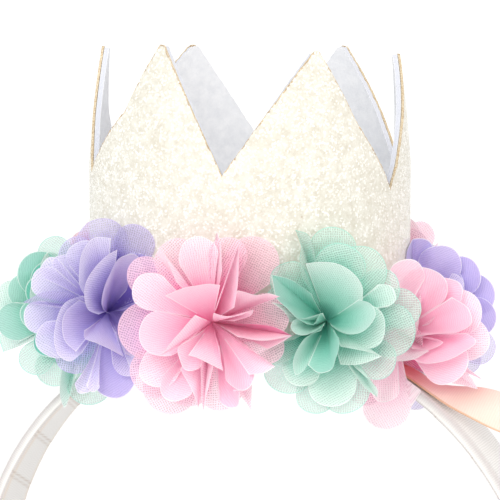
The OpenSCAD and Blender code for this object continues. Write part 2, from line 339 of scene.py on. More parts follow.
# Crown base
# A felt disc closes the crown's foot and is glued to the band with a saddle of felt below it.
# The felt is white needle felt: fibres pressed without a weave, which look matt and a little blue.
cloud_size = 2.38 * MM
fibre_size = 0.455 * MM
# depth that peaked_ring gives to every point of a cut edge
cut_depth = -MM
felt_white, tree = new_material("needle_felt_white")
felt_place = add_node(tree, "TexCoord")["Object"]
clouds = add_node(tree, "TexNoise", {"Vector": felt_place, "Scale": 1 / cloud_size, "Detail": 6.0,
                                     "Roughness": 0.7})["Fac"]
fibres = add_node(tree, "TexNoise", {"Vector": felt_place, "Scale": 1 / fibre_size, "Detail": 3.0,
                                     "Distortion": 1.5})["Fac"]
felt_tone = add_node(tree, "MapRange", {"Value": clouds, "From Min": 0.3, "From Max": 0.7})[0]
felt_colour = add_node(tree, "Mix", {"Factor": felt_tone, "A": colour("#dcdee3"), "B": colour("#ecedf0")},
                       data_type="RGBA")
# a cut edge is a little darker and bluer
felt_depth = add_node(tree, "Attribute", attribute_name="from_edge")["Fac"]
felt_cut = add_node(tree, "Math", {0: felt_depth, 1: 0.4 * cut_depth}, operation="LESS_THAN")[0]
felt_seen = add_node(tree, "Mix", {"Factor": felt_cut, "A": felt_colour["Result"], "B": colour("#d2d5df")},
                     data_type="RGBA")
felt_height = add_node(tree, "Math", {0: clouds, 1: fibres}, operation="ADD")[0]
felt_bump = add_node(tree, "Bump", {"Height": felt_height, "Strength": 0.5,
                                    "Distance": 0.15 * MM})["Normal"]
felt_shader = add_node(tree, "BsdfPrincipled", {
    "Base Color": felt_seen["Result"], "Roughness": 0.95, "Sheen Weight": 0.3, "Specular IOR Level": 0.2,
    "Normal": felt_bump})
add_node(tree, "OutputMaterial", {"Surface": felt_shader["BSDF"]})
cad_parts["crown_base"].data.materials.clear()
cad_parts["crown_base"].data.materials.append(felt_white)

# Crown wall
# A strip of ivory glitter fabric, rolled to a ring and cut into six peaks that lean inward.
# It is cut square to the fabric while that is flat, so the wall's two faces end at the same height.
# height to a tip, height to a valley and the lean inward are the CAD wall's, and the rest is finer here
crown_height = 61 * MM
wall_h = 34.5 * MM
lean = 3 * MM
peak_h = crown_height - wall_h
shell_t = 0.55 * MM
tip_w = 0.4 * MM
# half the width that is trimmed at a tip, and how far a flank's line runs from its middle, in half flanks
trim_w = 2.7 * MM
flank_run = 1.8
# tip azimuth, tip height in crown heights, next valley's azimuth, valley height in wall heights,
# and the bows of the flanks before and after the valley in flank widths
PEAKS = [[-14, 1.02, 10.6, 1.014, 0, 0],
         [45, 0.998, 77.6, 0.90, 0.11, 0],
         [112, 0.982, 128, 1.0, 0, 0],
         [158, 1.004, 194, 1.06, 0, 0],
         [224, 1.006, 262, 1.0, 0, 0.15],
         [285, 1.008, 304, 0.977, 0, 0.2]]
# heights above wall_h in peak heights, and the share of the lean that the wall has there
LEAN = [[0.05, 0], [0.45, 0.3], [1.1, 1.0]]


def wall_radius(height, outer_r):
    """Radius of a face of the wall at a height above the foot: outer_r up to the valleys, and then less by
    a share of the lean that goes in straight stretches from one row of LEAN to the next."""
    heights, inward = np.transpose(LEAN)
    return outer_r - lean * np.interp(height, wall_h + peak_h * heights, inward)


def flank_points(tip_x, valley_z, tip_z, bow):
    """Places and heights of one flank of a notch: its middle, moved aside by the bow, and a point well
    past the tip on the straight line from there."""
    middle = np.array([tip_x * (0.5 + bow), (valley_z + tip_z) / 2])
    return [middle, middle + flank_run * (np.array([tip_x, tip_z]) - middle)]


def cut_height(azimuth, tip_drop):
    """Height above the foot at which the notches cut off the wall. A notch is a flat outline seen along
    its valley's azimuth, so the height comes from how far the wall lies to the side of that line. The
    radius changes with the height, so it takes some rounds. tip_drop is trimmed off the tips."""
    rounds = 12
    height = np.full(len(azimuth), wall_h)
    tips = [[peak[0], peak[1] * crown_height] for peak in PEAKS]
    for _ in range(rounds):
        r = wall_radius(height, crown_r)
        cuts = []
        for i, (tip_az, tip_z, valley_az, valley_z, bow_before, bow_after) in enumerate(PEAKS):
            next_az, next_z = tips[(i + 1) % len(PEAKS)]
            aside = np.radians([valley_az - tip_az, (next_az - valley_az) % 360])
            tip_x = (crown_r - lean) * np.sin(aside) - tip_w / 2
            left = flank_points(-tip_x[0], valley_z * wall_h, tip_z * crown_height, bow_before)
            right = flank_points(tip_x[1], valley_z * wall_h, next_z, bow_after)
            outline = np.array([left[1], left[0], [0, valley_z * wall_h], right[0], right[1]])
            # a notch cuts only its own side of the ring
            turn = azimuth - np.radians(valley_az)
            cut = np.interp(r * np.sin(turn), *outline.T)
            cuts.append(np.where(np.cos(turn) > 0.2, cut, np.inf))
        height = 0.5 * height + 0.5 * np.min(cuts, axis=0)
    for tip_az, tip_z in tips:
        near = np.cos(azimuth - np.radians(tip_az)) > np.cos(trim_w / crown_r)
        height = np.where(near, np.minimum(height, tip_z - tip_drop), height)
    return height


def peaked_ring(outer_r, thickness, rows, edge_rows, wander, tip_drop, seed):
    """A wall of some thickness round the crown with the peaks cut out of it. Each column goes up the outer
    face, over the cut edge and down the inner face to the foot, which is left open. The cut strays from
    its line by wander times a sum of four sine waves round the crown, and by inner_stray of that on the
    inner face. Gives the points, their places on the flat strip, and their depths below the cut edge."""
    columns = 720
    inner_stray = 0.6
    azimuth = np.radians(np.arange(columns) * 360 / columns)
    for special in [peak[0] for peak in PEAKS] + [peak[2] for peak in PEAKS]:
        nearest = round((special % 360) * columns / 360) % columns
        azimuth[nearest] = np.radians(special % 360)
    rng = np.random.default_rng(seed)
    stray = np.zeros(columns)
    for waves, share in ((23, 0.5), (61, 0.7), (149, 0.8), (251, 0.6)):
        stray += share * np.sin(waves * azimuth + rng.uniform(0, 2 * np.pi))
    rise = np.linspace(0, 1, rows)
    faces = []
    for face_r, stray_share in ((outer_r, 1), (outer_r - thickness, inner_stray)):
        top = cut_height(azimuth, tip_drop) + wander * stray * stray_share
        z = rise[:, None] * top[None]
        r = wall_radius(z, face_r)
        faces.append(np.stack([r * np.sin(azimuth), -r * np.cos(azimuth), z], -1))
    over = np.linspace(0, 1, edge_rows)[1:-1, None, None]
    edge = faces[0][-1:] * (1 - over) + faces[1][-1:] * over
    points = np.concatenate([faces[0], edge, faces[1][::-1]])
    depth = faces[0][-1, :, 2][None] - points[..., 2]
    depth[rows:rows + edge_rows - 2] = cut_depth
    flat = np.stack(np.broadcast_arrays(azimuth[None] * outer_r, points[..., 2]), -1)
    return points + [axis_x, 0, foot_z], flat, depth


# Ivory glitter fabric: flakes of foil in clear resin on a woven backing. Each flake catches the light
# in its own way, and the cut edge shows the tan backing. Flakes are drawn at 0.4 mm, larger than real.
flake_size = 0.4 * MM
patch_size = 2.38 * MM
clump_size = 0.625 * MM
speck_spacing = 4.76 * MM
backing_thread = 0.286 * MM
glitter_ivory, tree = new_material("glitter_fabric_ivory")
flake_place = add_node(tree, "TexCoord")["Object"]
flakes = add_node(tree, "TexVoronoi", {"Vector": flake_place, "Scale": 1 / flake_size, "Randomness": 1.0})
flake_tone = add_node(tree, "SeparateXYZ", {"Vector": flakes["Color"]})
patches = add_node(tree, "TexNoise", {"Vector": flake_place, "Scale": 1 / patch_size, "Detail": 6.0,
                                      "Roughness": 0.75})["Fac"]
fine = add_node(tree, "TexNoise", {"Vector": flake_place, "Scale": 1 / clump_size, "Detail": 2.0})["Fac"]
patch_tone = add_node(tree, "MapRange", {"Value": patches, "From Min": 0.36, "From Max": 0.6})[0]
ivory = add_node(tree, "Mix", {"Factor": patch_tone, "A": colour("#cdc8ba"), "B": colour("#dddbd1")},
                 data_type="RGBA")["Result"]
flake_share = add_node(tree, "MapRange", {"Value": flake_tone["X"], "From Min": 0.6, "From Max": 1.0,
                                          "To Max": 0.9})[0]
# a tan speck shows here and there
specks = add_node(tree, "TexVoronoi", {"Vector": flake_place, "Scale": 1 / speck_spacing,
                                       "Randomness": 1.0})
speck_here = add_node(tree, "MapRange", {"Value": specks["Distance"], "From Min": 0.03, "From Max": 0.07,
                                         "To Min": 1.0, "To Max": 0.0})[0]
speck_draw = add_node(tree, "SeparateXYZ", {"Vector": specks["Color"]})["Y"]
speck_some = add_node(tree, "Math", {0: speck_draw, 1: 0.8}, operation="GREATER_THAN")[0]
speck_share = add_node(tree, "Math", {0: speck_here, 1: speck_some}, operation="MULTIPLY")[0]
# a ragged tan line runs along the cut
from_edge = add_node(tree, "Attribute", attribute_name="from_edge")["Fac"]
edge_reach = add_node(tree, "MapRange", {"Value": fine, "From Min": 0.4, "From Max": 0.65,
                                         "To Min": 0.05 * MM, "To Max": 0.5 * MM})[0]
edge_near = add_node(tree, "Math", {0: from_edge, 1: edge_reach}, operation="LESS_THAN")[0]
edge_tone = add_node(tree, "MapRange", {"Value": patches, "From Min": 0.42, "From Max": 0.62})[0]
edge_tan = add_node(tree, "Mix", {"Factor": edge_tone, "A": colour("#9c7748"), "B": colour("#ead2a6")},
                    data_type="RGBA")["Result"]
edge_share = add_node(tree, "Math", {0: edge_near, 1: 0.85}, operation="MULTIPLY")[0]
# the cut itself shows the backing's fibres, pale with tan threads
on_cut = add_node(tree, "Math", {0: from_edge, 1: 0.4 * cut_depth}, operation="LESS_THAN")[0]
cut_threads = add_node(tree, "TexNoise", {"Vector": flake_place, "Scale": 1 / backing_thread,
                                          "Detail": 2.0})["Fac"]
cut_tone = add_node(tree, "MapRange", {"Value": cut_threads, "From Min": 0.35, "From Max": 0.6})[0]
cut_tan = add_node(tree, "Mix", {"Factor": cut_tone, "A": colour("#b89c74"), "B": colour("#dccfb4")},
                   data_type="RGBA")["Result"]
glitter_layers = [(flake_share, colour("#faf9f5")), (speck_share, colour("#9c6a3f")),
                  (edge_share, edge_tan), (on_cut, cut_tan)]
for share, tone in glitter_layers:
    ivory = add_node(tree, "Mix", {"Factor": share, "A": ivory, "B": tone}, data_type="RGBA")["Result"]
flake_lift = add_node(tree, "Math", {0: flake_tone["Z"], 1: 0.6, 2: fine}, operation="MULTIPLY_ADD")[0]
flake_bump = add_node(tree, "Bump", {"Height": flake_lift, "Strength": 0.6,
                                     "Distance": 0.14 * MM})["Normal"]
flake_gloss = add_node(tree, "MapRange", {"Value": flake_tone["X"], "To Min": 0.5, "To Max": 0.16})[0]
glitter_shader = add_node(tree, "BsdfPrincipled", {"Base Color": ivory, "Roughness": flake_gloss,
                                                   "Specular IOR Level": 0.6, "Normal": flake_bump})
add_node(tree, "OutputMaterial", {"Surface": glitter_shader["BSDF"]})

shell_points, shell_flat, shell_depth = peaked_ring(
    crown_r, shell_t, rows=44, edge_rows=6, wander=0.09 * MM, tip_drop=0.15 * MM, seed=5)
shell_quads = grid_quads(*shell_points.shape[:2], around=True)
shell = make_piece("crown_glitter_wall", shell_points.reshape(-1, 3), shell_quads, glitter_ivory,
                   flat=shell_flat.reshape(-1, 2), marks={"from_edge": shell_depth}, closed=True, sharp=40)
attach(shell, "root")
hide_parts("crown_shell")

# Crown lining
# The same white needle felt as the base, glued to the back of the glitter fabric and cut with it.
# It is soft, so the cut wanders a little more, and its tips are a little worn down.
# what is glued on stands this far off what it is glued to
seat_gap = 0.1 * MM
lining_t = 1.1 * MM
lining_r = crown_r - shell_t - seat_gap
lining_points, lining_flat, lining_depth = peaked_ring(
    lining_r, lining_t, rows=40, edge_rows=6, wander=0.12 * MM, tip_drop=0.6 * MM, seed=11)
lining_quads = grid_quads(*lining_points.shape[:2], around=True)
lining_marks = {"from_edge": lining_depth}
lining = make_piece("crown_felt_lining", lining_points.reshape(-1, 3), lining_quads, felt_white,
                    flat=lining_flat.reshape(-1, 2), marks=lining_marks, closed=True, sharp=50)
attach(lining, "root")
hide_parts("crown_lining")

# Chiffon flowers
# Each flower is a bunch of lobed discs of polyester chiffon, folded and stitched at the middle, and glued
# to the crown's foot. A petal is what shows of one lobe or fold: a sheet that runs straight from the
# stitches to its heat-cut rim, which is round on a lobe and comes to points on a fold.
petal_columns = 33
# shares of the way from the stitches to the rim at which a petal has its rows
petal_rows = np.array([0, 0.08, 0.17, 0.26, 0.35, 0.43, 0.51, 0.59, 0.66, 0.73, 0.79, 0.85, 0.9, 0.94, 0.97,
                       0.99, 1])
# up to this share of the way the sides lie in the stitched bunch and don't show as a rim
stitched_share = 0.3
# how far a flower's root and its petals lie from the wall
root_gap = 1.0 * MM
wall_gap = 0.3 * MM
# share of its depth that shades a drawing which the camera sees from its side
side_depth = 0.35


def turned(points, angle, first, second):
    """Points turned by an angle in degrees from one axis towards another, both given by number: each of
    the two values is a mix of both by the angle's cosine and sine."""
    c, s = np.cos(np.radians(angle)), np.sin(np.radians(angle))
    made = points.copy()
    made[..., first] = points[..., first] * c - points[..., second] * s
    made[..., second] = points[..., first] * s + points[..., second] * c
    return made


def smooth_through(places, values, at):
    """Values at places along a soft line through given ones. Each stretch is a cubic, and its slope at
    each end is the mean of the slopes to the neighbours on both sides, where the nearer counts more."""
    slopes = np.gradient(values, places)
    span = np.clip(np.searchsorted(places, at, side="right") - 1, 0, len(places) - 2)
    width = places[span + 1] - places[span]
    t = (at - places[span]) / width
    rise = values[span + 1] - values[span]
    start, end = slopes[span] * width, slopes[span + 1] * width
    bend = t ** 2 * (3 * rise - 2 * start - end) + t ** 3 * (start + end - 2 * rise)
    return values[span] + t * start + bend


def lobe_rim(tip_x, tip_y, reach, half_angle, cup, roll):
    """Rim of one round lobe from side to side, seen as the flower is drawn: X to the right, Y up and Z
    towards the viewer, in mm. Flat, it is the far side of a circle that touches the lobe's two straight
    sides, in polar form. cup bends the lobe evenly towards the viewer, roll turns it about its own line,
    and then the line is laid towards the tip's place, with as much of the reach towards the viewer as
    that leaves over (away from the viewer where the reach is negative)."""
    across = np.sin(np.linspace(-np.pi / 2, np.pi / 2, petal_columns))
    half = np.radians(half_angle)
    flat_angle = across * half
    lobe_r = np.sin(half) / (1 + np.sin(half))
    under_root = np.maximum(lobe_r ** 2 - ((1 - lobe_r) * np.sin(flat_angle)) ** 2, 0)
    rim = (1 - lobe_r) * np.cos(flat_angle) + np.sqrt(under_root)
    bend = np.radians(cup) * across
    step = np.gradient(across) * half
    side, lift = np.cumsum(np.cos(bend) * step), np.cumsum(np.sin(bend) * step)
    middle = petal_columns // 2
    way = np.stack([side - side[middle], np.ones(petal_columns), lift - lift[middle]], -1)
    points = abs(reach) * rim[:, None] * way / np.linalg.norm(way, axis=1, keepdims=True)
    points = turned(points, roll, 0, 2)
    length = np.hypot(tip_x, tip_y)
    rise = np.degrees(np.arccos(np.clip(length / abs(reach), 0, 1)))
    points = turned(points, np.sign(reach) * rise, 1, 2)
    return turned(points, -np.degrees(np.arctan2(tip_x, tip_y)), 0, 1)


def drawn_rim(marks):
    """Rim through given places: X and Y in mm as the flower is drawn, and the cloth's reach from the
    stitches, negative where it leans away from the viewer. A fourth value marks a fold, where the
    rim turns sharply. Each stretch between folds is a soft curve, with columns by its length."""
    places = np.array([mark[:3] for mark in marks], float)
    over = np.maximum(places[:, 2] ** 2 - places[:, 0] ** 2 - places[:, 1] ** 2, 0)
    places[:, 2] = np.sign(places[:, 2]) * np.sqrt(over)
    along = np.concatenate([[0], np.cumsum(np.linalg.norm(np.diff(places, axis=0), axis=1))])
    folds = [0] + [i for i, mark in enumerate(marks) if len(mark) == 4] + [len(marks) - 1]
    at = np.linspace(0, along[-1], petal_columns)
    made = np.zeros((petal_columns, 3))
    for first, last in zip(folds[:-1], folds[1:]):
        at[np.argmin(np.abs(at - along[last]))] = along[last]
        here = (at >= along[first]) & (at <= along[last])
        stretch = slice(first, last + 1)
        for axis in range(3):
            made[here, axis] = smooth_through(along[stretch], places[stretch, axis], at[here])
    return made


def petal_sheet(rim, bow, curl, ripple, phase):
    """The sheet between the stitches and a rim: straight lines to each place of the rim. bow makes the
    lines bulge towards the viewer, curl bends their ends away, and ripple is the height of the soft wave
    along the rim. Gives points, places on the flat cloth, distances from the rim, and shares of the way."""
    reach = np.linalg.norm(rim, axis=1)
    way = rim / reach[:, None]
    turn = np.arccos(np.clip(np.sum(way[:-1] * way[1:], axis=1), -1, 1))
    flat_angle = np.concatenate([[0], np.cumsum(turn)])
    normal = np.cross(way, np.gradient(way, axis=0))
    normal /= np.linalg.norm(normal, axis=1, keepdims=True) + 1e-9
    normal *= np.where(normal[:, 2:] < 0, -1, 1)
    share = np.broadcast_to(petal_rows[:, None], (len(petal_rows), petal_columns))
    across = np.linspace(-1, 1, petal_columns)
    # about two and a half waves from side to side, with two smaller ones on them
    wave = np.sin(2.6 * np.pi * across + phase) + 0.6 * np.sin(6.1 * across - 2 * phase)
    off = bow * share * (1 - share) * 4 - curl * share ** 3 + ripple * share ** 3 * wave
    points = share[..., None] * rim + (off * reach)[..., None] * normal
    run = share * reach * MM
    flat = np.stack([run * np.sin(flat_angle), run * np.cos(flat_angle)], -1)
    from_side = np.minimum(flat_angle, flat_angle[-1] - flat_angle) * run + MM * (share < stitched_share)
    from_rim = np.minimum((1 - share) * reach * MM, from_side)
    return points * MM, flat, from_rim, share


def on_crown(points, azimuth, height, facing):
    """Takes a flower's points from its drawing, which faces an azimuth and a little upwards, to the
    crown's foot at the flower's own azimuth and height above it. Petals that would run into the wall
    or the band are laid on them."""
    side = np.radians(facing)
    right = np.array([np.cos(side), np.sin(side), 0])
    plumb = np.array([0, 0, 1.0])
    forward = outward(side) * np.cos(view_pitch) + plumb * np.sin(view_pitch)
    upward = plumb * np.cos(view_pitch) - outward(side) * np.sin(view_pitch)
    root = outward(np.radians(azimuth)) * (crown_r + root_gap) + plumb * height
    made = root + points[..., :1] * right + points[..., 1:2] * upward + points[..., 2:] * forward
    # how far a point inside the wall comes forward until it lies on it: the line's crossing with a circle
    wall_r = wall_radius(made[..., 2], crown_r) + wall_gap
    ahead = made[..., :2] @ outward(side)[:2]
    inside = wall_r ** 2 - np.sum(made[..., :2] ** 2, axis=-1)
    come_out = np.where(inside > 0, np.sqrt(np.maximum(ahead ** 2 + inside, 0)) - ahead, 0)
    # below the wall's foot that fades out
    fade = 2 * MM
    above = np.clip((made[..., 2] + fade) / fade, 0, 1)
    made[..., :2] += (above * come_out)[..., None] * outward(side)[:2]
    made = made + [axis_x, 0, foot_z]
    # a point in the band, or not far below it, goes straight out from the arch's centre
    beside = 0.5 * MM
    below = 4 * MM
    from_arch = made - [0, 0, leg_h]
    from_arch[..., 1] = 0
    arch_near = np.linalg.norm(from_arch, axis=-1)
    over = (np.abs(made[..., 1]) < band_w / 2 + beside) & (made[..., 2] < foot_z)
    over &= arch_near > arch_r - below
    short = np.where(over, np.maximum(arch_r + band_t / 2 + wall_gap - arch_near, 0), 0)
    return made + from_arch / arch_near[..., None] * short[..., None]


def below_front(points):
    """How far each point lies below the flower's own front, in metres, seen as the flower is drawn. The
    petals are spread over a grid of small cells, the front is the highest cloth in each cell, and it is
    then softened by the mean of each cell and its neighbours, a few times over."""
    cell = 0.7 * MM
    cells = 80
    backmost = -4 * MM
    steps = [np.linspace(0, count - 1, 3 * count) for count in points.shape[1:3]]
    low = [np.minimum(step.astype(int), count - 2) for step, count in zip(steps, points.shape[1:3])]
    share = [(step - first)[:, None] for step, first in zip(steps, low)]
    dense = points[:, low[0]] * (1 - share[0])[..., None] + points[:, low[0] + 1] * share[0][..., None]
    dense = dense[:, :, low[1]] * (1 - share[1]) + dense[:, :, low[1] + 1] * share[1]
    front = np.full((cells, cells), backmost)
    place = np.clip(dense[..., :2] / cell + cells / 2, 0, cells - 1).astype(int)
    np.maximum.at(front, (place[..., 0], place[..., 1]), dense[..., 2])
    for _ in range(3):
        for axis in (0, 1):
            front = (np.roll(front, 1, axis) + front + np.roll(front, -1, axis)) / 3
    place = np.clip(points[..., :2] / cell + cells / 2, 0, cells - 1).astype(int)
    return front[place[..., 0], place[..., 1]] - points[..., 2]


def chiffon(name, tip, middle_tone, shade, heart, rim, sheer):
    """Polyester chiffon in one dye: a plain weave of fine twisted threads. One sheet lets about a third of
    the light through between its threads and is painted a greyer tone as painted shade, folded ones close
    up and look bright, painted shade deepens the colour towards the stitches, in big bunches and down
    between the petals, a pale end is painted light, and the heat-cut rim is a thin hard line. The weave
    is two sine waves across each other, drawn at 0.48 mm, twice as coarse as the real one."""
    weave_pitch = 0.48 * MM
    slack_size = 0.91 * MM
    material, tree = new_material(name)
    flat_place = add_node(tree, "UVMap", uv_map="flat")["UV"]
    slack = add_node(tree, "TexNoise", {"Vector": flat_place, "Scale": 1 / slack_size, "Detail": 1.0})
    place = add_node(tree, "SeparateXYZ", {"Vector": flat_place})
    stray = add_node(tree, "SeparateXYZ", {"Vector": slack["Color"]})
    threads = []
    for way, weight in (("X", 1.0), ("Y", 0.7)):
        phase = add_node(tree, "Math", {0: place[way], 1: 2 * np.pi / weave_pitch}, operation="MULTIPLY")[0]
        moved = add_node(tree, "Math", {0: stray[way], 1: 7.0, 2: phase}, operation="MULTIPLY_ADD")[0]
        line = add_node(tree, "Math", {0: moved}, operation="SINE")[0]
        threads.append(add_node(tree, "Math", {0: line, 1: weight}, operation="MULTIPLY")[0])
    weave = add_node(tree, "Math", {0: threads[0], 1: threads[1]}, operation="MAXIMUM")[0]
    thread = add_node(tree, "MapRange", {"Value": weave, "From Min": -0.6, "From Max": 0.9})[0]
    share = add_node(tree, "Attribute", attribute_name="share")["Fac"]
    from_rim = add_node(tree, "Attribute", attribute_name="from_rim")["Fac"]
    sheets = add_node(tree, "Attribute", attribute_name="sheets")["Fac"]
    sunk = add_node(tree, "Attribute", attribute_name="sunk")["Fac"]
    rim_share = add_node(tree, "MapRange", {"Value": from_rim, "From Min": 0.1 * MM, "From Max": 0.3 * MM,
                                            "To Min": 1.0, "To Max": 0.0})[0]
    single = add_node(tree, "MapRange", {"Value": sheets, "From Min": 1.0, "From Max": 1.8, "To Min": 1.0,
                                         "To Max": 0.0})[0]
    # the colour: deep at the stitches as painted shade, then the middle tone, and pale at the end as
    # painted light
    inner = add_node(tree, "MapRange", {"Value": share, "From Min": 0.0, "From Max": 0.36})[0]
    outer = add_node(tree, "MapRange", {"Value": share, "From Min": 0.25, "From Max": 0.95})[0]
    # a single sheet's end gets a greyer tone, which is painted shade
    tip_tone = add_node(tree, "Mix", {"Factor": single, "A": colour(tip), "B": colour(sheer)},
                        data_type="RGBA")
    deep = add_node(tree, "Mix", {"Factor": inner, "A": colour(heart), "B": colour(middle_tone)},
                    data_type="RGBA")
    dye_light_and_shade = add_node(tree, "Mix", {"Factor": outer, "A": deep["Result"], "B": tip_tone["Result"]},
                    data_type="RGBA")["Result"]
    # painted shade: a bunch of many sheets takes the shade tone, and the most take the stitches' deep tone
    bunched_shade = add_node(tree, "MapRange", {"Value": sheets, "From Min": 2.0, "From Max": 5.5})[0]
    stacked_shade = add_node(tree, "MapRange", {"Value": sheets, "From Min": 5.0, "From Max": 7.0})[0]
    # between the petals the light has passed through more cloth, and is dim and deep in colour
    down = add_node(tree, "MapRange", {"Value": sunk, "From Min": 0.5 * MM, "From Max": 6 * MM,
                                       "To Max": 0.55})[0]
    deepest = add_node(tree, "MapRange", {"Value": sunk, "From Min": 6 * MM, "From Max": 13 * MM,
                                          "To Max": 0.85})[0]
    # one sheet shows its mesh, and where several lie together only the lines of the threads are left
    gap_most = add_node(tree, "MapRange", {"Value": single, "To Min": 0.17, "To Max": 0.3})[0]
    mesh = add_node(tree, "Math", {0: 1.0, 1: thread}, operation="SUBTRACT")[0]
    lines = add_node(tree, "MapRange", {"Value": threads[0], "From Min": -1.0, "To Min": 1.0,
                                        "To Max": 0.0})[0]
    gap_share = add_node(tree, "Mix", {"Factor": single, "A": lines, "B": mesh})["Result"]
    gaps = add_node(tree, "Math", {0: gap_share, 1: gap_most}, operation="MULTIPLY")[0]
    rim_tone = add_node(tree, "Mix", {"Factor": single, "A": colour(rim), "B": colour(middle_tone)},
                        data_type="RGBA")["Result"]
    rim_paint = add_node(tree, "Math", {0: rim_share, 1: 0.8}, operation="MULTIPLY")[0]
    # over the colour go painted shade from bunched sheets and from depth below the front, the weave's gaps
    # and the rim
    tones = [(bunched_shade, colour(shade)), (stacked_shade, colour(heart)), (down, colour(shade)),
             (deepest, colour(heart)), (gaps, colour(heart)), (rim_paint, rim_tone)]
    for amount, tone in tones:
        dye_light_and_shade = add_node(tree, "Mix", {"Factor": amount, "A": dye_light_and_shade, "B": tone}, data_type="RGBA")["Result"]
    # how much one sheet hides, then several lying together, and the rim, which hides nearly all
    one = add_node(tree, "MapRange", {"Value": thread, "To Min": 0.35, "To Max": 0.85})[0]
    open_share = add_node(tree, "Math", {0: 1.0, 1: one}, operation="SUBTRACT")[0]
    layers = add_node(tree, "MapRange", {"Value": share, "From Min": 0.25, "From Max": 0.75, "To Min": 2.0,
                                         "To Max": -1.0})[0]
    layers = add_node(tree, "Math", {0: sheets, 1: 2.0, 2: layers}, operation="MULTIPLY_ADD")[0]
    through = add_node(tree, "Math", {0: open_share, 1: layers}, operation="POWER")[0]
    hidden = add_node(tree, "Math", {0: 1.0, 1: through}, operation="SUBTRACT")[0]
    rim_hides = add_node(tree, "Math", {0: rim_share, 1: 0.85}, operation="MULTIPLY")[0]
    cover = add_node(tree, "Math", {0: hidden, 1: rim_hides}, operation="MAXIMUM")[0]
    bump = add_node(tree, "Bump", {"Height": weave, "Strength": 0.4, "Distance": 0.04 * MM})["Normal"]
    cloth = add_node(tree, "BsdfPrincipled", {"Base Color": dye_light_and_shade, "Roughness": 0.7, "Sheen Weight": 0.2,
                                              "Specular IOR Level": 0.2, "Normal": bump})
    glow = add_node(tree, "BsdfTranslucent", {"Color": dye_light_and_shade, "Normal": bump})
    lit = add_node(tree, "MixShader", {0: 0.28, 1: cloth["BSDF"], 2: glow["BSDF"]})
    clear = add_node(tree, "BsdfTransparent")
    shader = add_node(tree, "MixShader", {0: cover, 1: clear["BSDF"], 2: lit["Shader"]})
    add_node(tree, "OutputMaterial", {"Surface": shader["Shader"]})
    return material


DYES = {
    "mint": chiffon("chiffon_mint", tip="#dff1ea", middle_tone="#a2e6d6", shade="#66c9b5", heart="#108473",
                    rim="#f4fbf8", sheer="#cfe8df"),
    "lavender": chiffon("chiffon_lavender", tip="#e9e4f9", middle_tone="#cfc4f1", shade="#ab9be4",
                        heart="#6a55c0", rim="#f8f6ff", sheer="#d9d2f0"),
    "pink": chiffon("chiffon_pink", tip="#ffeef5", middle_tone="#ffd9e9", shade="#fdbdd8", heart="#fb7cb6",
                    rim="#fff9fc", sheer="#fcdde9"),
}


def petal_arrays(petals, spin, scale, rng):
    """Points, flat places, distances from the rim, shares of the way and sheets of a drawing's petals.
    spin turns the whole drawing, in degrees, and scale is its size. Bow, curl and ripple are shares of
    the reach, the first two drawn at random, and each petal is cut at its own angle to the weave."""
    made = []
    for petal in petals:
        is_fold = isinstance(petal[1], tuple)
        rim = scale * (drawn_rim(petal[1:]) if is_fold else lobe_rim(*petal[:6]))
        bow = rng.uniform(0.0, 0.02) if is_fold else rng.uniform(-0.02, 0.04)
        curl = 0 if is_fold else rng.uniform(0, 0.04)
        ripple = 0.002 if is_fold else 0.012
        phase = rng.uniform(0, 2 * np.pi)
        points, flat, from_rim, share = petal_sheet(turned(rim, spin, 0, 1), bow, curl, ripple, phase)
        sheets = np.full(share.shape, float(petal[0] if is_fold else petal[6]))
        made.append([points, turned(flat, rng.uniform(0, 180), 0, 1), from_rim, share, sheets])
    return [np.array(values) for values in zip(*made)]


def flower(name, dye, azimuth, height, drawings, seed):
    """Joins the petals of a flower's drawings to one piece."""
    rng = np.random.default_rng(seed)
    joined = []
    for drawing, (facing, spin, scale, petals) in enumerate(drawings):
        points, flat, from_rim, share, sheets = petal_arrays(petals, spin, scale, rng)
        sunk = below_front(points) * (1 if drawing == 0 else side_depth)
        joined.append([on_crown(points, azimuth, height, facing), flat, from_rim, share, sheets, sunk])
    points, flat, from_rim, share, sheets, sunk = [np.concatenate(values) for values in zip(*joined)]
    one_petal = grid_quads(*share.shape[1:])
    quads = (one_petal[None] + np.arange(len(share))[:, None, None] * share[0].size).reshape(-1, 4)
    piece = make_piece(name, points.reshape(-1, 3), quads, DYES[dye], flat=flat.reshape(-1, 2), sharp=40,
                       marks={"from_rim": from_rim, "share": share, "sheets": sheets, "sunk": sunk})
    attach(piece, "root")
    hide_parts(name.replace("_chiffon", ""))


